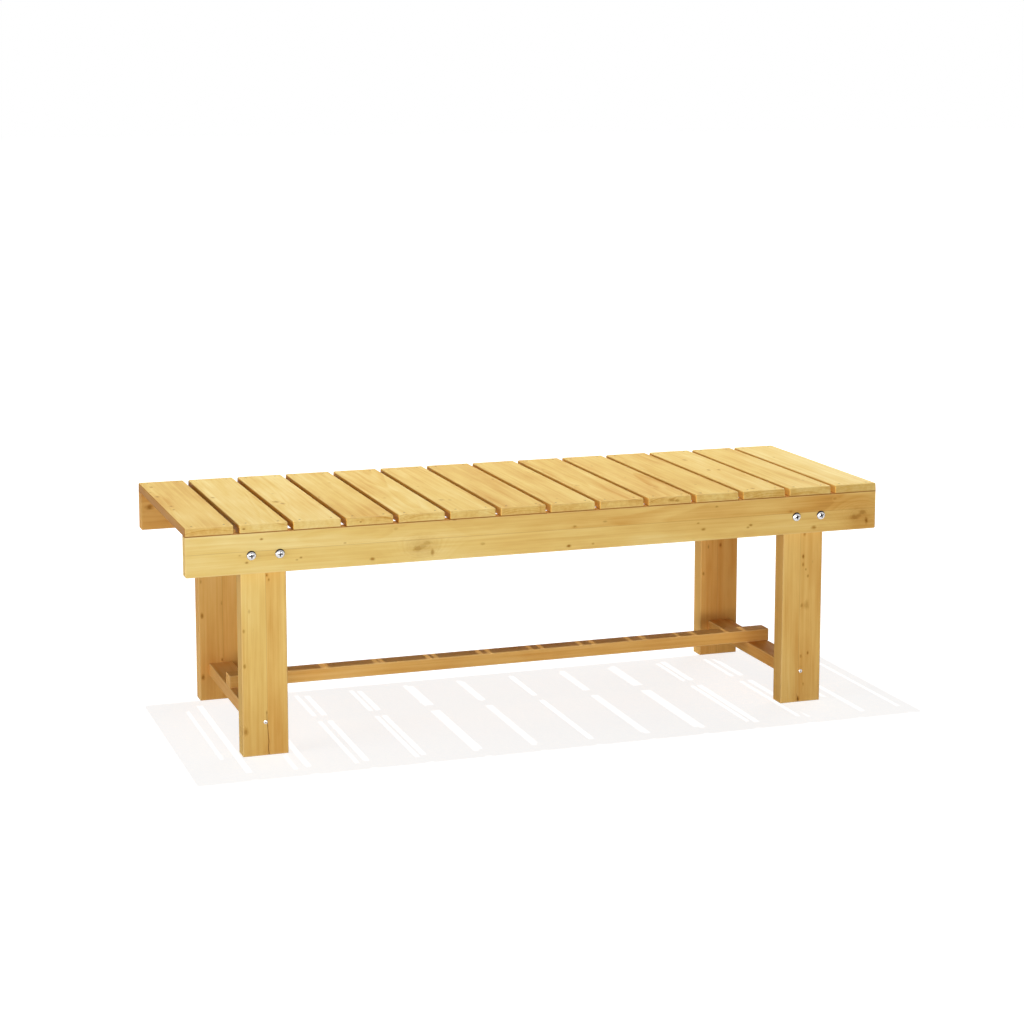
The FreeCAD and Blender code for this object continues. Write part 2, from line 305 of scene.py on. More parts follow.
def pine(node, turn, seed, pith, knots=(), joint=1000, ring=4.2, gloss=0.05, **looks):
    """Varnished pine for one board. In the board's own axes x runs along the grain, y across the face and z
    through the thickness. pith is (lean, y, z), and knots are (x, y, radius, depth of colour), in mm.
    A pair in the radius's place is the reach along and across the grain.
    A knot with a fifth number, its z, runs along the board and shows on the sawn end.
    looks are other inputs of the grain group."""
    low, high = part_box(node)
    material = bpy.data.materials.new(node + "_pine")
    material.use_nodes = True
    tree = material.node_tree
    surface = tree.nodes["Principled BSDF"].inputs
    surface["Specular IOR Level"].default_value = gloss
    coords = wire(tree, "ShaderNodeTexCoord").outputs["Object"]
    turn = Euler([math.radians(angle) for angle in turn])
    placing = {"Vector": coords, "Location": (low + high) / 2, "Rotation": turn}
    own = result(tree, "ShaderNodeMapping", placing, vector_type="TEXTURE")
    half = turn.to_matrix().transposed() @ ((high - low) / 2)
    marks = {"Bend": 0.0, "Halo": 0.0, "Heart": 0.0}
    for x, y, size, depth, *z in knots:
        centre = Vector((x, y, *(z or (0,)))) * MM
        along, across = size if isinstance(size, tuple) else (1.6 * size, size)
        run = (0.05, 0.6, 1.2) if z else (across / along, 1.0, 0.0)
        inputs = {"Place": own, "Centre": centre, "Run": run, "Radius": across * MM, "Depth": depth, **marks}
        knot = wire(tree, "ShaderNodeGroup", inputs, node_tree=knot_group)
        marks = {key: knot.outputs[key] for key in marks}
    looks = {"figure": 0.3, "end_shade": 0.85, **looks}
    inputs = {label.replace("_", " ").title(): value for label, value in looks.items()}
    inputs |= {
        "Place": own, "Pith": (pith[0], pith[1] * MM, pith[2] * MM), "Half Size": [abs(v) for v in half],
        "Seed": seed, "Joint": joint * MM, "Ring": ring * MM, **marks,
    }
    grain = wire(tree, "ShaderNodeGroup", inputs, node_tree=grain_group).outputs
    tree.links.new(grain["Color"], surface["Base Color"])
    tree.links.new(grain["Roughness"], surface["Roughness"])
    relief = {"Strength": 0.5, "Distance": 0.25 * MM, "Height": grain["Height"]}
    tree.links.new(result(tree, "ShaderNodeBump", relief), surface["Normal"])
    return material


def planed_board(node, grain, arris, end_arris=0.0, foot_corner=0.0):
    """A board in the place of a CAD node, its edges along the grain rounded and its sawn ends eased.
    With a foot_corner, a board on edge has its lower corners rounded and the outlines of its faces eased."""
    low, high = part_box(node)
    touch = 0.01 * MM
    shape = bmesh.new()
    place = Matrix.Translation((low + high) / 2) @ Matrix.Diagonal((*(high - low), 1))
    bmesh.ops.create_cube(shape, size=1, matrix=place)

    def run(edge, axis):
        return abs(edge.verts[0].co[axis] - edge.verts[1].co[axis])

    def at_end(edge):
        spot = edge.verts[0].co[grain]
        return run(edge, grain) < touch and min(spot - low[grain], high[grain] - spot) < touch

    def ease(edges, radius, steps):
        bmesh.ops.bevel(shape, geom=edges, offset=radius, segments=steps, profile=0.5, affect="EDGES")

    if foot_corner:
        across = [edge for edge in shape.edges if run(edge, Y) > touch]
        ease([edge for edge in across if edge.verts[0].co.z < low.z + touch], foot_corner, steps=6)
        outline = [edge for edge in shape.edges if any(abs(face.normal.y) > 0.9 for face in edge.link_faces)]
        ease(outline, arris, steps=4)
    else:
        ease([edge for edge in shape.edges if run(edge, grain) > touch], arris, steps=4)
        ease([edge for edge in shape.edges if at_end(edge)], end_arris, steps=2)
    bmesh.ops.recalc_face_normals(shape, faces=shape.faces)
    mesh = bpy.data.meshes.new(node + "_board")
    shape.to_mesh(mesh)
    shape.free()
    return mesh


def new_object(name, data):
    """An object with the given data, put in the scene."""
    made = bpy.data.objects.new(name, data)
    bpy.context.scene.collection.objects.link(made)
    return made


def evaluated_mesh(holder, name):
    """The mesh that an object's modifiers make, free of the object, which then goes."""
    graph = bpy.context.evaluated_depsgraph_get()
    mesh = bpy.data.meshes.new_from_object(holder.evaluated_get(graph))
    mesh.name = name
    holder.modifiers.clear()
    bpy.data.objects.remove(holder)
    return mesh


def set_piece(name, mesh, material, node):
    """Puts a finished mesh in the scene, in the place of the CAD node that it stands for."""
    mesh.shade_smooth()
    mesh.set_sharp_from_angle(angle=math.radians(36))
    holder = new_object(name + "_holder", mesh)
    holder.modifiers.new("even_normals", "WEIGHTED_NORMAL").keep_sharp = True
    mesh = evaluated_mesh(holder, name)
    mesh.materials.clear()
    mesh.materials.append(material)
    piece = new_object(name, mesh)
    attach(piece, BODY)
    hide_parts(node)


def split_open(mesh, node, top, across, width, depth):
    """Cuts a drying crack into a leg's front face, wide at the foot and closing towards the top."""
    low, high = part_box(node)
    overrun = 1 * MM
    foot = low.z - overrun
    face = low.y - overrun
    steps = 14
    seed = 2
    chance = random.Random(seed)
    shape = bmesh.new()
    rings = []
    for step in range(steps + 1):
        share = step / steps
        height = foot + (top - foot) * share
        middle = (low.x + high.x) / 2 + across + chance.uniform(-0.5, 0.5) * MM
        middle += share * 2.5 * MM * math.sin(3 * share + seed)
        half = width / 2 * (1 - share) ** 0.4 + 0.03 * MM
        outline = ((middle - half, face), (middle + half, face), (middle, low.y + depth))
        rings.append([shape.verts.new((x, y, height)) for x, y in outline])
    for lower, upper in zip(rings, rings[1:]):
        for i in range(3):
            shape.faces.new((lower[i], lower[(i + 1) % 3], upper[(i + 1) % 3], upper[i]))
    shape.faces.new(rings[0][::-1])
    shape.faces.new(rings[-1])
    bmesh.ops.recalc_face_normals(shape, faces=shape.faces)
    wedge = bpy.data.meshes.new("crack")
    shape.to_mesh(wedge)
    shape.free()
    cutter = new_object("crack", wedge)
    holder = new_object("cracked_board", mesh)
    cut = holder.modifiers.new("crack", "BOOLEAN")
    cut.operation = "DIFFERENCE"
    cut.solver = "EXACT"
    cut.object = cutter
    mesh = evaluated_mesh(holder, mesh.name)
    bpy.data.objects.remove(cutter)
    return mesh


upright = (-90, -90, 0)
leg_arris = 1.3 * MM
leg_end_arris = 0.5 * MM
# Most legs are painted paler at the top and darker at the foot as the light falls, and get painted shade
# down their narrow sides; the rear right leg's left side is painted lighter instead. A high warm share
# stands in for bounced light on the rear legs, which stand in shade.
leg_looks = {
    "leg_front_left": dict(
        seed=3.0, pith=(0.02, 22, 80), joint=3, strip_tone=0.21, tone=0.0, tone_slope=-0.7, figure=0.16,
        gloss=0.02, warm=0.1, side_dark=0.4, knots=[
            (101, 5, 1.3, 0.8), (94, 8, 1.2, 0.7), (49, -22, 1.4, 0.35), (20, -30, 1.4, 0.5),
            (-32, -30, 1.6, 0.6), (-130, -30, 2.8, 0.6), (-104, 2, 1.2, 0.4)]),
    "leg_front_right": dict(
        seed=19.0, pith=(-0.03, 10, 75), joint=-4, strip_tone=0.06, tone=0.09, tone_slope=-0.35, figure=0.14,
        warm=0.42, side_shade=0.14, side_dark=0.34, knots=[
            (103, 3, 1.8, 0.6), (67, 1, 1.6, 0.8), (54, 1, 1.5, 0.6), (46, 6, 1.0, 0.6), (35, 10, 1.3, 0.6),
            (-12, 8, 3.4, 0.4), (-12, 0, 1.8, 0.5), (-90, 12, 1.4, 0.7), (-94, 0, 1.3, 0.5),
            (-140, 5, 1.2, 0.5), (-164, -4, 2.2, 0.8)]),
    "leg_rear_left": dict(
        seed=31.0, pith=(0.03, -14, -80), joint=4, strip_tone=0.1, tone=0.0, tone_slope=-0.7, figure=0.18,
        gloss=0.02, warm=0.85, side_dark=0.32, knots=[
            (-30, -29, 2.0, 0.7), (25, -30, 1.4, 0.4), (-130, -29, 2.2, 0.7), (-104, 2, 1.3, 0.7)]),
    "leg_rear_right": dict(
        seed=47.0, pith=(0.02, 18, -72), joint=-3, strip_tone=0.08, tone=0.11, figure=0.1, gloss=0.02,
        warm=1.0, side_shade=-0.85, knots=[(22, 2, 2.0, 0.7), (-26, -29, 1.5, 0.6), (90, 20, 2.2, 0.4)]),
}
leg_cracks = {
    "leg_front_left": dict(top=69 * MM, across=4 * MM, width=1.1 * MM, depth=8 * MM),
    "leg_front_right": dict(top=14 * MM, across=-4 * MM, width=0.9 * MM, depth=6 * MM),
}
for node, looks in leg_looks.items():
    mesh = planed_board(node, Z, leg_arris, leg_end_arris)
    if node in leg_cracks:
        mesh = split_open(mesh, node, **leg_cracks[node])
    set_piece(node + "_board", mesh, pine(node, upright, **looks), node)

# End stretchers
# A flat rail of pine between the front and rear leg at each end, planed and eased.
# It is held by a screw through each leg.

crosswise = (180, 0, 90)
rail_arris = 1.5 * MM
rail_end_arris = 0.4 * MM
end_stretcher_looks = {
    "end_stretcher_left": dict(seed=52.0, pith=(0.02, 6, 50), tone=-0.3, warm=0.95, side_dark=0.4),
    "end_stretcher_right": dict(seed=61.0, pith=(-0.02, -8, 46), tone=0.12, warm=1.0),
}
for node, looks in end_stretcher_looks.items():
    mesh = planed_board(node, Y, rail_arris, rail_end_arris)
    look = pine(node, crosswise, gloss=0.02, ring=3.6, **looks)
    set_piece(node + "_board", mesh, look, node)

# Long stretcher
# One slim rail of pine that lies across both end stretchers and ties the two leg frames together.
# It is planed and eased like them, and screwed to them from below.

lengthwise = (0, 0, 0)
mesh = planed_board("long_stretcher", X, rail_arris, rail_end_arris)
look = pine("long_stretcher", lengthwise, seed=71.0, pith=(0.008, 9, -60), tone=0.04, tone_slope=0.05,
            warm=0.9, end_shade=0.4, gloss=0.02, ring=3.6)
set_piece("long_stretcher_board", mesh, look, "long_stretcher")

# Aprons
# Two boards of pine on edge under the slat ends, planed, eased and bolted to the legs.
# Their lower corners are rounded off, and painted shade darkens the seam where the slats lie on them.

on_edge = (90, 0, 0)
apron_arris = 1.0 * MM
apron_corner = 2.5 * MM
apron_looks = {
    "front_apron": dict(
        seed=83.0, pith=(0.012, -26, -90), joint=3, strip_tone=0.05, tone=0.0, tone_slope=0.36, warm=0.1,
        figure=0.24, ring=2.6, knots=[
            (-439, 20, 1.3, 0.8), (-471, -2, 0.9, 0.4), (-461, -13, 1.4, 0.7), (-387, -14, 1.0, 0.5),
            (-381, -11, 1.2, 0.7), (-315, 6, 1.1, 0.5), (-238, 22, 1.6, 0.3), (-274, -21, 2.0, 0.8),
            (-198, -8, 12, 0.3), (-204, -10, 4.6, 0.6), (-197, -8, 4.0, 0.5), (-190, -3, 3.6, 0.5),
            (-182, -17, (2.6, 4.2), 0.7), (-104, -10, 1.6, 0.4), (42, 6, 1.5, 0.6), (33, -23, 1.8, 0.9),
            (72, -22, 1.2, 0.5), (276, 22, 1.3, 0.6), (245, -2, 1.1, 0.5), (254, -12, 1.7, 0.7),
            (329, -14, 1.3, 0.6), (334, -11, 1.5, 0.7), (402, 6, 1.1, 0.4), (442, -22, 2.2, 0.7),
            (478, 22, 1.6, 0.3), (522, -9, 12, 0.3), (513, -10, 4.6, 0.65), (520, -8, 4.0, 0.6),
            (527, -3, 4.2, 0.66), (534, -17, (2.6, 4.6), 0.85)]),
    "rear_apron": dict(
        seed=97.0, pith=(-0.01, 22, 90), tone=0.12, warm=0.85, gloss=0.02, figure=0.22, knots=[
            (-536, 6, 3.0, 0.8), (-210, 10, 4.2, 0.5), (140, -12, 2.4, 0.6), (390, 14, 2.0, 0.7)]),
}
for node, looks in apron_looks.items():
    mesh = planed_board(node, X, apron_arris, foot_corner=apron_corner)
    look = pine(node, on_edge, seam_way=(0, 1, 0), **looks)
    set_piece(node + "_board", mesh, look, node)

# Seat slats
# Fourteen short boards of pine laid across the aprons with an even gap between them.
# Their upper edges are rounded over, and each has four shallow dimples where a nail was driven home.


def new_shape_tree(name, **labels):
    """An empty geometry tree. The labels of its sizes are listed by their kind of socket."""
    shape = [("Geometry", "Geometry")]
    sizes = [(label, kind) for kind, listed in labels.items() for label in listed]
    return new_group(name, [*shape, *sizes, ("Material", "Material")], shape, "GeometryNodeTree")


def position(tree):
    """Where each point of a shape is."""
    return result(tree, "GeometryNodeInputPosition")


def set_points(tree, made, spots):
    """A shape with its points put at other spots."""
    return result(tree, "GeometryNodeSetPosition", {"Geometry": made, "Position": spots})


def shifted(tree, made, way):
    """A shape moved by a vector."""
    return result(tree, "GeometryNodeTransform", {"Geometry": made, "Translation": way})


def carved(tree, made, *cutters):
    """A shape with others cut out of it."""
    shapes = {"Mesh 1": made, "Mesh 2": cutters}
    return result(tree, "GeometryNodeMeshBoolean", shapes, operation="DIFFERENCE", solver="EXACT")


def realized(tree, made):
    """Instances as real geometry."""
    return result(tree, "GeometryNodeRealizeInstances", [made])


def finish_tree(tree, made, given, out):
    """Ends a shape's tree: real geometry, in the given material."""
    dressed = {"Geometry": realized(tree, made), "Material": given["Material"]}
    tree.links.new(result(tree, "GeometryNodeSetMaterial", dressed), out.inputs[0])
    return tree


def make_slat_tree():
    """A board with rounded edges and four nail dimples in its top, from named sizes."""
    tree, given, out = new_shape_tree(
        "rounded_slat", Vector=("Size", "Centre", "Nail Span"), Int=["Steps"],
        Float=("Top Round", "Foot Round", "Dimple Radius", "Dimple Depth"))
    rows = times(tree, given["Steps"], 2.0, 2.0)
    counts = {"Size": (1, 1, 1), "Vertices X": rows, "Vertices Y": rows, "Vertices Z": rows}
    block = result(tree, "GeometryNodeMeshCube", counts)
    side = vector_sums(tree, "SIGN", position(tree))
    outward = vector_sums(tree, "ABSOLUTE", position(tree))
    grow = times(tree, rows, 2.0, -2.0)
    spread = vector_sums(tree, "MULTIPLY_ADD", outward, vector(tree, grow, grow, grow), (-1, -1, -1))
    spread = vector_sums(tree, "NORMALIZE", spread)
    upper = times(tree, numbers_of(tree, side)[Z], 0.5, 0.5)
    radius = result(tree, "ShaderNodeMix", {0: upper, 2: given["Foot Round"], 3: given["Top Round"]})
    half = vector_sums(tree, "MULTIPLY", given["Size"], (0.5, 0.5, 0.5))
    radii = vector(tree, radius, radius, radius)
    rounded = vector_sums(tree, "MULTIPLY_ADD", spread, radii, vector_sums(tree, "SUBTRACT", half, radii))
    board = set_points(tree, block, vector_sums(tree, "MULTIPLY_ADD", side, rounded, given["Centre"]))

    span = numbers_of(tree, given["Nail Span"])
    corners = {"Size X": span[X], "Size Y": span[Y], "Vertices X": 2, "Vertices Y": 2}
    grid = result(tree, "GeometryNodeMeshGrid", corners)
    tall = times(tree, given["Dimple Depth"], 2.0)
    rim = times(tree, given["Dimple Radius"], 1.25)
    cone = {"Vertices": 20, "Radius Top": rim, "Radius Bottom": given["Dimple Radius"], "Depth": tall}
    plug = result(tree, "GeometryNodeMeshCone", cone)
    placing = {"Points": grid, "Instance": plug}
    plugs = realized(tree, result(tree, "GeometryNodeInstanceOnPoints", placing))
    top = sums(tree, "SUBTRACT", numbers_of(tree, half)[Z], given["Dimple Depth"])
    plugs = shifted(tree, plugs, vector_sums(tree, "ADD", given["Centre"], vector(tree, 0.0, 0.0, top)))
    return finish_tree(tree, carved(tree, board, plugs), given, out)


def grown(name, tree, points=(), turns=(), **sizes):
    """The mesh that a geometry tree makes from a row of points and named sizes."""
    base = bpy.data.meshes.new(name + "_points")
    base.from_pydata(points, [], [])
    if turns:
        attribute = base.attributes.new("turn", "FLOAT_VECTOR", "POINT")
        attribute.data.foreach_set("vector", [angle for turn in turns for angle in turn])
    holder = new_object(name + "_holder", base)
    modifier = holder.modifiers.new("shape", "NODES")
    modifier.node_group = tree
    sockets = {item.name: item.identifier for item in tree.interface.items_tree if item.in_out == "INPUT"}
    for label, value in sizes.items():
        modifier[sockets[label.replace("_", " ").title()]] = value
    return evaluated_mesh(holder, name)


def loose_boxes(node):
    """The (low, high) corners of each separate solid in a CAD node."""
    shape = bmesh.new()
    shape.from_mesh(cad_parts[node].data)
    bmesh.ops.remove_doubles(shape, verts=shape.verts, dist=0.01 * MM)
    left = set(shape.verts)
    boxes = []
    while left:
        queue = [left.pop()]
        spots = []
        while queue:
            vertex = queue.pop()
            spots.append(vertex.co.copy())
            near = {edge.other_vert(vertex) for edge in vertex.link_edges} & left
            left -= near
            queue += near
        low = Vector(min(spot[axis] for spot in spots) for axis in range(3))
        high = Vector(max(spot[axis] for spot in spots) for axis in range(3))
        boxes.append((low, high))
    shape.free()
    return sorted(boxes, key=lambda box: tuple(round(value, 5) for value in box[0]))


slat_tree = make_slat_tree()
slat_sizes = {"top_round": 2.2 * MM, "foot_round": 0.6 * MM, "steps": 4, "dimple_depth": 0.35 * MM}
nail_head_radius = 2.2 * MM
dimple_radius = nail_head_radius + 0.2 * MM
# The first slat's exposed left side gets painted shade
slat_looks = [
    dict(pith=(0.006, 6, 150), tone=0.1, figure=0.2, side_shade=0.0, side_dark=1.0, knots=[
        (145, -23, 2.2, 0.6), (62, -29, 2.6, 0.7), (-20, -23, 2.0, 0.6), (-48, -24, 1.5, 0.8),
        (180, 31, 1.2, 0.6), (100, -33, 1.6, 0.6)]),
    dict(pith=(-0.008, -14, 130), tone=-0.16, knots=[
        (27, -29, 2.6, 0.6), (-188, -29, 1.2, 0.9, 0)]),
    dict(pith=(0.008, 16, 160), tone=-0.25, figure=0.24, knots=[
        (-37, -25, 3.6, 0.6), (-53, -19, 3.0, 0.6), (30, -15, 1.8, 0.3)]),
    dict(pith=(0.006, -8, 140), tone=0.02, knots=[(-188, -14, 0.9, 0.9, 1), (90, 12, 1.6, 0.3)]),
    dict(pith=(-0.006, 10, 150), tone=-0.13, knots=[(-60, -20, 1.6, 0.3)]),
    dict(pith=(0.008, -18, 120), tone=0.02, knots=[
        (170, -11, 1.8, 0.4), (15, -24, 1.5, 0.3), (-103, -22, 3.0, 0.5), (-108, -11, 2.4, 0.4)]),
    dict(pith=(-0.006, 4, 160), tone=0.17, knots=[(-187, 27, 1.6, 0.6), (40, -8, 1.5, 0.3)]),
    dict(pith=(0.01, 12, 140), tone=0.09, knots=[(71, 30, 1.8, 0.4), (-152, -12, 1.4, 0.4)]),
    dict(pith=(-0.008, -12, 150), tone=0.12, knots=[(95, -26, 1.6, 0.4), (-58, -24, 2.2, 0.5)]),
    dict(pith=(0.006, 20, 130), tone=0.09, knots=[
        (-108, 8, 2.0, 0.4), (-190, 3, 2.6, 0.6, 0), (-190, 12, 2.2, 0.6, 1)]),
    dict(pith=(0.008, -6, 150), tone=0.08, knots=[(-110, -2, 1.6, 0.4)]),
    dict(pith=(-0.008, 14, 140), tone=-0.17, end_shade=1.0, knots=[
        (100, -9, 3.0, 0.5), (0, -10, 2.2, 0.8), (-3, 7, 2.0, 0.8), (-172, -12, 2.4, 0.6)]),
    dict(pith=(0.006, -16, 160), tone=-0.12, end_shade=0.75, knots=[(-133, 15, 1.8, 0.4)]),
    dict(pith=(-0.006, 8, 150), tone=-0.3, end_shade=1.0),
]
first_seed = 101.0
seed_step = 6.0

# The sides of the first slats from the left get a stronger painted glow and painted shade in their gaps
strongly_shaded_slats = 6
slat_nodes = sorted(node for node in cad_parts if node.startswith("slat_") and node != "slat_nails")
nails = loose_boxes("slat_nails")
for place, (node, looks) in enumerate(zip(slat_nodes, slat_looks)):
    low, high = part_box(node)
    looks = {"side_shade": 0.95 if place < strongly_shaded_slats else 0.66, "end_shade": 0.1, "ring": 3.4, **looks}
    look = pine(node, crosswise, seed=first_seed + seed_step * place, seam_way=(0, 0, 1), **looks)
    spots = [(start + end) / 2 for start, end in nails if low.x < start.x < high.x]
    nail_span = [max(spot[axis] for spot in spots) - min(spot[axis] for spot in spots) for axis in range(3)]
    mesh = grown(node, slat_tree, size=high - low, centre=(low + high) / 2, nail_span=nail_span,
                 dimple_radius=dimple_radius, material=look, **slat_sizes)
    set_piece(node + "_board", mesh, look, node)

# Apron bolts
# Eight bright zinc-plated bolts with round heads and cross recesses, two through each apron end into a leg.
# Each is held behind the leg by a plain washer and a hexagon nut.


def zinc_plate(name, dark_mark):
    """Bright zinc with a spangle and a duller bloom. A named mark lays a dark colour over it: rust on the
    nails, painted shade on the bolts and screws.
    """
    bright_zinc = (0.69, 0.68, 0.67, 1)
    grey_zinc = (0.56, 0.56, 0.58, 1)
    dull_zinc = (0.38, 0.38, 0.40, 1)
    material = bpy.data.materials.new(name)
    material.use_nodes = True
    tree = material.node_tree
    surface = tree.nodes["Principled BSDF"].inputs
    surface["Metallic"].default_value = 1.0
    spot = wire(tree, "ShaderNodeTexCoord").outputs["Object"]
    spangle = wire(tree, "ShaderNodeTexVoronoi", {"Vector": spot, "Scale": 900.0}).outputs["Color"]
    spangle = result(tree, "ShaderNodeSeparateColor", [spangle])
    bloom = result(tree, "ShaderNodeTexNoise", {"Vector": spot, "Scale": 260.0, "Detail": 3.0})
    plated = mixed(tree, spangle, grey_zinc, bright_zinc)
    plated = mixed(tree, step_between(tree, bloom, 0.5, 0.75, 0.0, 0.5), plated, dull_zinc)
    tarnish = wire(tree, "ShaderNodeAttribute", attribute_name="tarnish").outputs["Fac"]
    tree.links.new(mixed(tree, tarnish, plated, dark_mark), surface["Base Color"])
    tree.links.new(times(tree, tarnish, 0.3, times(tree, bloom, 0.25, 0.12)), surface["Roughness"])
    wear = {"Strength": 0.3, "Distance": 0.05 * MM, "Height": bloom}
    tree.links.new(result(tree, "ShaderNodeBump", wear), surface["Normal"])
    return material


def lifted(tree, made, height):
    """A shape moved straight up."""
    return shifted(tree, made, vector(tree, 0.0, 0.0, height))


def marked(tree, made, name, value, kind="FLOAT", domain="FACE"):
    """A shape that carries a named value. The zinc's colour reads the one that lays rust and painted shade
    over it.
    """
    inputs = {"Geometry": made, "Name": name, "Value": value}
    return result(tree, "GeometryNodeStoreNamedAttribute", inputs, data_type=kind, domain=domain)


def mark_of(tree, name, kind="FLOAT"):
    """The named value that a shape carries."""
    return result(tree, "GeometryNodeInputNamedAttribute", {"Name": name}, data_type=kind)


def joined(tree, *parts):
    """Several shapes as one."""
    return result(tree, "GeometryNodeJoinGeometry", [parts])


def set_instances(tree, made, points):
    """Sets a made piece on every point, turned as the point says."""
    turn = result(tree, "FunctionNodeEulerToRotation", [mark_of(tree, "turn", "FLOAT_VECTOR")])
    placing = {"Points": points, "Instance": made, "Rotation": turn}
    return result(tree, "GeometryNodeInstanceOnPoints", placing)


def make_cross_head_tree():
    """Fasteners with round heads and cross recesses. The head stands on the point, the shank goes below."""
    tree, given, out = new_shape_tree("cross_head_fastener", Float=(
        "Head Radius", "Head Height", "Dome", "Shank Radius", "Shank Length", "Recess Span", "Recess Width",
        "Recess Depth", "Thread Pitch", "Thread Length", "Thread Depth", "Weathered"))
    radius = given["Head Radius"]
    height = given["Head Height"]
    disc = {"Vertices": 64, "Side Segments": 4, "Fill Segments": 14, "Radius": radius, "Depth": height}
    head = result(tree, "GeometryNodeMeshCylinder", disc, fill_type="TRIANGLE_FAN")
    head = lifted(tree, head, times(tree, height, 0.5))
    x, y, z = numbers_of(tree, position(tree))
    out_share = sums(tree, "DIVIDE", vector_sums(tree, "LENGTH", vector(tree, x, y, 0.0)), radius)
    up_share = sums(tree, "DIVIDE", z, height)
    droop = times(tree, sums(tree, "POWER", out_share, 2.6), given["Dome"])
    domed = times(tree, z, sums(tree, "SUBTRACT", 1.0, droop))
    taper = times(tree, sums(tree, "POWER", up_share, 3.0), -0.09, 1.0)
    head = set_points(tree, head, vector(tree, times(tree, x, taper), times(tree, y, taper), domed))

    # The recess, two crossed arms that narrow towards the bottom; painted shade darkens them, all but the
    # upper arm, as if light fell in from above
    depth = given["Recess Depth"]
    size = vector(tree, given["Recess Span"], given["Recess Width"], times(tree, depth, 2.0))
    bar = {"Size": size, "Vertices X": 5, "Vertices Y": 2, "Vertices Z": 2}
    arm = result(tree, "GeometryNodeMeshCube", bar)
    other = result(tree, "GeometryNodeTransform", {"Geometry": arm, "Rotation": (0, 0, math.pi / 2)})
    slope = step_between(tree, z, times(tree, depth, -1.0), depth, 0.5, 1.15)
    narrowed = vector(tree, times(tree, x, slope), times(tree, y, slope), z)
    dark_mark = step_between(tree, sums(tree, "DIVIDE", y, given["Recess Span"]), 0.1, 0.28, 0.97, 0.1)
    arms = []
    for part in (arm, other):
        part = lifted(tree, set_points(tree, part, narrowed), height)
        arms.append(marked(tree, part, "tarnish", dark_mark))
    # Painted shade darkens the foot of the head, where it meets the wood
    rim = times(tree, step_between(tree, up_share, 0.35, 0.1, 0.0, 0.75), given["Weathered"])
    head = carved(tree, marked(tree, head, "tarnish", rim), *arms)

    # The shank and its thread
    length = given["Shank Length"]
    rod = {"Vertices": 20, "Radius": given["Shank Radius"], "Depth": length}
    shank = lifted(tree, result(tree, "GeometryNodeMeshCylinder", rod), times(tree, length, -0.5))
    rotations = sums(tree, "DIVIDE", given["Thread Length"], given["Thread Pitch"])
    coil = {"Resolution": 16, "Rotations": rotations, "Start Radius": given["Shank Radius"],
            "End Radius": given["Shank Radius"], "Height": given["Thread Length"]}
    helix = result(tree, "GeometryNodeCurveSpiral", coil)
    ridge = {"Resolution": 5, "Radius": given["Thread Depth"]}
    ridge = result(tree, "GeometryNodeCurvePrimitiveCircle", ridge)
    sweep = {"Curve": helix, "Profile Curve": ridge, "Fill Caps": True}
    thread = lifted(tree, result(tree, "GeometryNodeCurveToMesh", sweep), times(tree, length, -1.0))
    clean = [marked(tree, part, "tarnish", 0.0) for part in (shank, thread)]
    hubs = marked(tree, given["Geometry"], "hub", position(tree), "FLOAT_VECTOR", "POINT")
    made = realized(tree, set_instances(tree, joined(tree, head, *clean), hubs))

    # Painted shade and reflection make a dark crescent along the upper flank of each head
    off_hub = vector_sums(tree, "SUBTRACT", position(tree), mark_of(tree, "hub", "FLOAT_VECTOR"))
    off_hub = vector_sums(tree, "ADD", off_hub, vector(tree, 0.0, 0.0, times(tree, radius, 0.24)))
    off_hub = vector_sums(tree, "LENGTH", vector_sums(tree, "MULTIPLY", off_hub, (1, 0, 1)))
    upper = step_between(tree, sums(tree, "DIVIDE", off_hub, radius), 0.95, 1.02)
    shaded_rim = sums(tree, "MAXIMUM", mark_of(tree, "tarnish"), times(tree, upper, given["Weathered"]))
    return finish_tree(tree, marked(tree, made, "tarnish", shaded_rim), given, out)


def driven_in(boxes, depth, rolls):
    """Places and turns of fasteners that go in from the front or the rear: (places, turns).
    Their heads rest a depth in from the outer end of the CAD solid, and a roll turns the recess."""
    places = []
    turns = []
    for (low, high), roll in zip(boxes, rolls):
        middle = (low + high) / 2
        way = -1 if middle.y < 0 else 1
        places.append((middle.x, low.y + depth if way < 0 else high.y - depth, middle.z))
        turns.append((-way * math.pi / 2, way * roll, 0.0))
    return places, turns


def reach(boxes, axis):
    """How long the first of like solids is along an axis."""
    low, high = boxes[0]
    return high[axis] - low[axis]


def set_fasteners(node, tree, places, turns, material, **sizes):
    """A row of like fasteners in the place of a CAD node."""
    mesh = grown(node, tree, places, turns, material=material, **sizes)
    set_piece(node.removesuffix("s") + "_set", mesh, material, node)


# The near-black laid over bolts and screws as painted shade in their recesses and along their rims
painted_shade_black = (0.025, 0.02, 0.022, 1)
zinc = zinc_plate("bright_zinc", painted_shade_black)
cross_head_tree = make_cross_head_tree()
bolts = loose_boxes("apron_bolts")
bolt_head_height = 3.6 * MM
rolls = (0.05, 0.1, -0.12, 0.2, 0.25, -0.3, 0.35, 0.3)
set_fasteners(
    "apron_bolts", cross_head_tree, *driven_in(bolts, bolt_head_height, rolls), zinc, head_radius=7 * MM,
    head_height=bolt_head_height, dome=0.5, shank_radius=2.7 * MM,
    shank_length=reach(bolts, Y) - bolt_head_height, recess_span=10.4 * MM, recess_width=2.5 * MM,
    recess_depth=2.0 * MM, thread_pitch=1.0 * MM, thread_length=14 * MM, thread_depth=0.34 * MM,
    weathered=1.0)


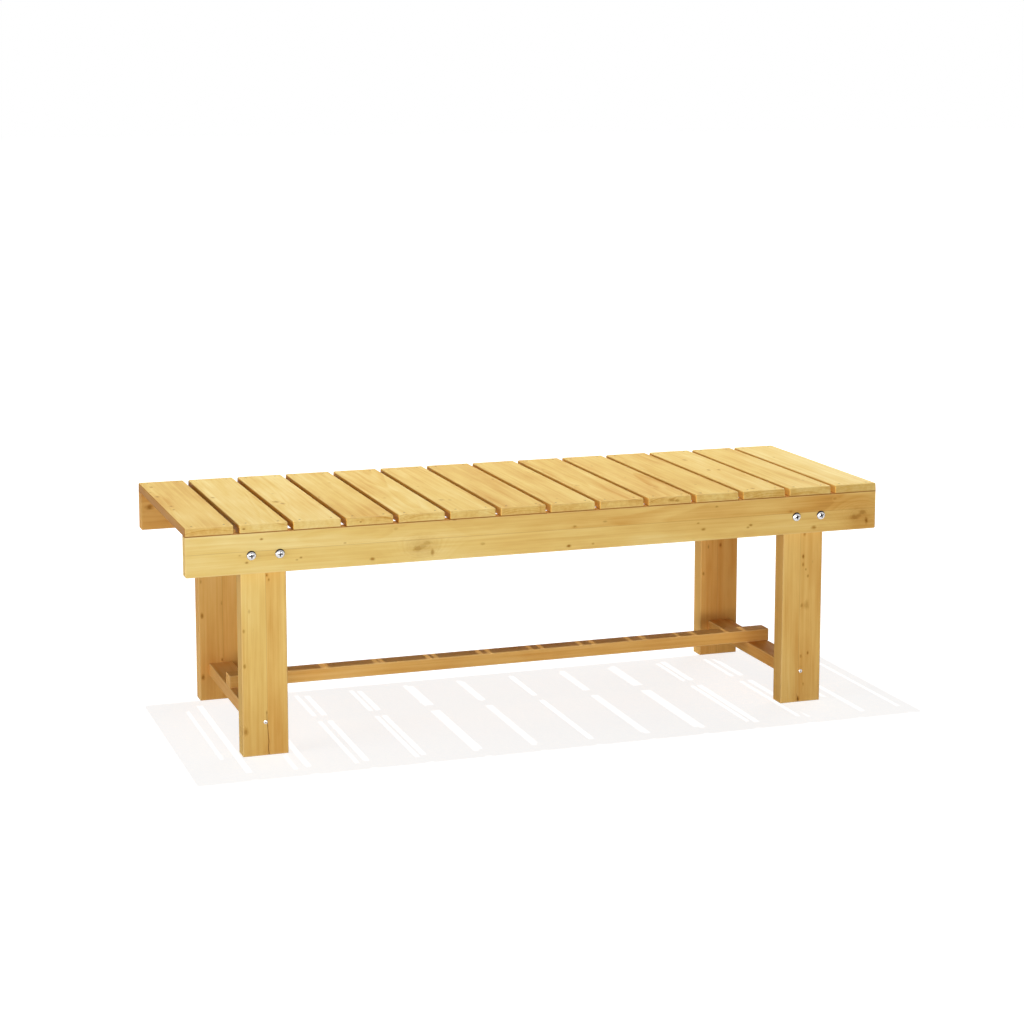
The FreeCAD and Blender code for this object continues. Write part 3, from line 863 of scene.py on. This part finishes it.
def make_washer_tree():
    """Plain washers, punched from sheet, with their edges rolled over."""
    tree, given, out = new_shape_tree(
        "plain_washer", Float=("Outer Radius", "Hole Radius", "Thickness", "Edge Round"))
    middle = times(tree, sums(tree, "ADD", given["Outer Radius"], given["Hole Radius"]), 0.5)
    loop = result(tree, "GeometryNodeCurvePrimitiveCircle", {"Resolution": 36, "Radius": middle})
    width = sums(tree, "SUBTRACT", given["Outer Radius"], given["Hole Radius"])
    sheet = {"Width": width, "Height": given["Thickness"]}
    section = result(tree, "GeometryNodeCurvePrimitiveQuadrilateral", sheet)
    corners = {"Curve": section, "Count": 3, "Radius": given["Edge Round"], "Limit Radius": True}
    section = result(tree, "GeometryNodeFilletCurve", corners, mode="POLY")
    ring = result(tree, "GeometryNodeCurveToMesh", {"Curve": loop, "Profile Curve": section})
    made = set_instances(tree, marked(tree, ring, "tarnish", 0.0), given["Geometry"])
    return finish_tree(tree, made, given, out)


washers = loose_boxes("bolt_washers")
spots = [(low + high) / 2 for low, high in washers]
turns = [(math.pi / 2, 0.0, 0.0)] * len(spots)
set_fasteners("bolt_washers", make_washer_tree(), spots, turns, zinc, outer_radius=6 * MM,
              hole_radius=3.1 * MM, thickness=reach(washers, Y), edge_round=0.4 * MM)


def make_nut_tree():
    """Hexagon nuts, turned from bar, with the corners of both faces chamfered."""
    tree, given, out = new_shape_tree("hexagon_nut", Float=("Across Flats", "Height"))
    corner = sums(tree, "DIVIDE", given["Across Flats"], math.sqrt(3))
    bar = {"Vertices": 6, "Radius": corner, "Depth": given["Height"]}
    prism = result(tree, "GeometryNodeMeshCylinder", bar)
    ball = result(tree, "GeometryNodeMeshUVSphere", {"Segments": 48, "Rings": 24, "Radius": 1.0})
    wide = times(tree, corner, 1.06)
    squash = vector(tree, wide, wide, times(tree, given["Height"], 0.88))
    ball = result(tree, "GeometryNodeTransform", {"Geometry": ball, "Scale": squash})
    shapes = {"Mesh 2": [prism, ball]}
    nut = result(tree, "GeometryNodeMeshBoolean", shapes, operation="INTERSECT", solver="EXACT")
    made = set_instances(tree, marked(tree, nut, "tarnish", 0.0), given["Geometry"])
    return finish_tree(tree, made, given, out)


nuts = loose_boxes("bolt_nuts")
spots = [(low + high) / 2 for low, high in nuts]
turns = [(math.pi / 2, roll, 0.0) for roll in (0.2, 0.9, 0.5, 0.0, 0.7, 0.35, 0.15, 0.6)]
set_fasteners("bolt_nuts", make_nut_tree(), spots, turns, zinc, across_flats=10 * MM, height=reach(nuts, Y))

# Screws
# Zinc-plated wood screws with small raised heads and cross recesses.
# Four go through the legs into the end stretchers, and two come up from below into the long stretcher.

screw_sunk = 0.4 * MM
thread_share = 0.6
screw_sizes = dict(
    head_radius=3.2 * MM, head_height=0.9 * MM, dome=0.6, shank_radius=1.5 * MM, recess_span=3.4 * MM,
    recess_width=0.9 * MM, recess_depth=0.6 * MM, thread_pitch=1.6 * MM, thread_depth=0.3 * MM)
screws = loose_boxes("leg_screws")
length = reach(screws, Y) - screw_sunk
set_fasteners(
    "leg_screws", cross_head_tree, *driven_in(screws, screw_sunk, (0.4, 1.1, 0.2, 0.8)), zinc,
    shank_length=length, thread_length=thread_share * length, weathered=0.4, **screw_sizes)
screws = loose_boxes("rail_screws")
spots = [((low.x + high.x) / 2, (low.y + high.y) / 2, low.z + screw_sunk) for low, high in screws]
turns = [(math.pi, 0.0, roll) for roll in (0.3, 0.9)]
length = reach(screws, Z) - screw_sunk
set_fasteners("rail_screws", cross_head_tree, spots, turns, zinc, shank_length=length,
              thread_length=thread_share * length, weathered=0.0, **screw_sizes)

# Nails
# Two zinc-plated wire nails at each end of every slat, browned by rust.
# They are driven a little below the surface, through the slat and into the apron.


def make_nail_tree():
    """Wire nails with flat round heads. The top of the head is at the point."""
    tree, given, out = new_shape_tree(
        "wire_nail", Float=("Head Radius", "Head Height", "Shank Radius", "Length"))
    radius = given["Head Radius"]
    height = given["Head Height"]
    disc = {"Vertices": 24, "Side Segments": 2, "Fill Segments": 3, "Radius": radius, "Depth": height}
    head = result(tree, "GeometryNodeMeshCylinder", disc, fill_type="TRIANGLE_FAN")
    x, y, z = numbers_of(tree, position(tree))
    out_share = sums(tree, "DIVIDE", vector_sums(tree, "LENGTH", vector(tree, x, y, 0.0)), radius)
    droop = times(tree, sums(tree, "POWER", out_share, 3.0), height)
    fall = times(tree, droop, times(tree, sums(tree, "GREATER_THAN", z, 0.0), -0.35))
    offset = vector(tree, 0.0, 0.0, fall)
    head = result(tree, "GeometryNodeSetPosition", {"Geometry": head, "Offset": offset})
    half_head = times(tree, height, -0.5)
    rod = {"Vertices": 12, "Radius": given["Shank Radius"], "Depth": given["Length"]}
    shank = result(tree, "GeometryNodeMeshCylinder", rod)
    shank = lifted(tree, shank, times(tree, given["Length"], -0.5, half_head))
    nail = marked(tree, joined(tree, lifted(tree, head, half_head), shank), "tarnish", 0.9)
    return finish_tree(tree, set_instances(tree, nail, given["Geometry"]), given, out)


nail_sunk = 0.2 * MM
nail_roll = 0.37
rust = (0.13, 0.055, 0.02, 1)
rusty_zinc = zinc_plate("rusty_zinc", rust)
spots = [((low.x + high.x) / 2, (low.y + high.y) / 2, high.z - nail_sunk) for low, high in nails]
turns = [(0.0, 0.0, nail_roll * number) for number in range(len(spots))]
set_fasteners("slat_nails", make_nail_tree(), spots, turns, rusty_zinc, head_radius=nail_head_radius,
              head_height=1.0 * MM, shank_radius=1.2 * MM, length=reach(nails, Z) - 2 * nail_sunk)

# Floor and light
# A plain pale floor under a white sky, with soft lamps in front, at the left and behind.
# Two small lamps overhead throw the streaks of light that come through the gaps in the seat.

floor_half = 30.0
floor_drop = 0.2 * MM
sides = ((-1, -1), (1, -1), (1, 1), (-1, 1))
corners = [(x * floor_half, y * floor_half, -floor_drop) for x, y in sides]
floor_mesh = bpy.data.meshes.new("floor")
floor_mesh.from_pydata(corners, [], [(0, 1, 2, 3)])
floor = new_object("floor", floor_mesh)


def seen_directly(tree):
    """1 for rays from the camera and for rays that mirror or pass through the object, else 0."""
    path = wire(tree, "ShaderNodeLightPath").outputs
    mirrored = sums(tree, "MAXIMUM", path["Is Glossy Ray"], path["Is Transmission Ray"])
    return sums(tree, "MAXIMUM", path["Is Camera Ray"], mirrored)


pale_grey = (0.55, 0.55, 0.55, 1)
white = (1, 1, 1, 1)
pale = bpy.data.materials.new("pale_floor")
pale.use_nodes = True
tree = pale.node_tree
tree.nodes.remove(tree.nodes["Principled BSDF"])
matt = result(tree, "ShaderNodeBsdfDiffuse", {"Color": pale_grey})
spot = wire(tree, "ShaderNodeTexCoord").outputs["Object"]
away = step_between(tree, vector_sums(tree, "LENGTH", spot), 0.7, 2.2, 0.78, 0.95)
strength = times(tree, seen_directly(tree), away)
lift = result(tree, "ShaderNodeEmission", {"Color": white, "Strength": strength})
both = result(tree, "ShaderNodeAddShader", [matt, lift])
tree.links.new(both, tree.nodes["Material Output"].inputs["Surface"])
floor_mesh.materials.append(pale)

sky_light = 0.11
world = bpy.data.worlds.new("white_room")
bpy.context.scene.world = world
world.use_nodes = True
tree = world.node_tree
sky = tree.nodes["Background"].inputs
sky["Color"].default_value = white
tree.links.new(times(tree, seen_directly(tree), 1.0 - sky_light, sky_light), sky["Strength"])


def lamp(name, place, aim, power, size):
    """A white lamp turned to an aim: a softbox of a width and a height, or a small round one of a radius."""
    softbox = isinstance(size, tuple)
    data = bpy.data.lights.new(name, "AREA" if softbox else "POINT")
    data.energy = power
    if softbox:
        data.shape = "RECTANGLE"
        data.size = size[0]
        data.size_y = size[1]
    else:
        data.shadow_soft_size = size
    made = new_object(name, data)
    made.location = place
    made.rotation_euler = (Vector(aim) - Vector(place)).to_track_quat("-Z", "Y").to_euler()


low_aim = (0, 0, 0.25)
high_aim = (0, 0, 0.3)
lamp("front_softbox", (-0.5, -3.0, 0.34), low_aim, power=50, size=(2.4, 0.6))
lamp("left_softbox", (-2.8, -0.6, 0.42), high_aim, power=29, size=(1.4, 0.75))
lamp("left_overhead", (-0.482, 0.75, 3.82), high_aim, power=227, size=5 * MM)
lamp("right_overhead", (0.288, 0.5, 2.63), high_aim, power=101, size=5 * MM)
lamp("rear_softbox", (2.6, 1.9, 0.4), low_aim, power=46, size=(2.0, 0.7))

# Camera
# It stands to the front and left, about a metre up, and looks a little down.
# A small lens shift brings the bench up towards the middle of the picture.

camera_tilt = 8.36
camera_turn = 19.09
camera_data = bpy.data.cameras.new("camera")
camera_data.sensor_width = 36.0
camera_data.lens = 79.30
camera_data.shift_y = -0.109
camera = new_object("camera", camera_data)
camera.location = (-1.1379, -3.3109, 0.9956)
camera.rotation_euler = (math.radians(90 - camera_tilt), 0, math.radians(-camera_turn))
bpy.context.scene.camera = camera
bpy.context.scene.view_settings.view_transform = "Standard"
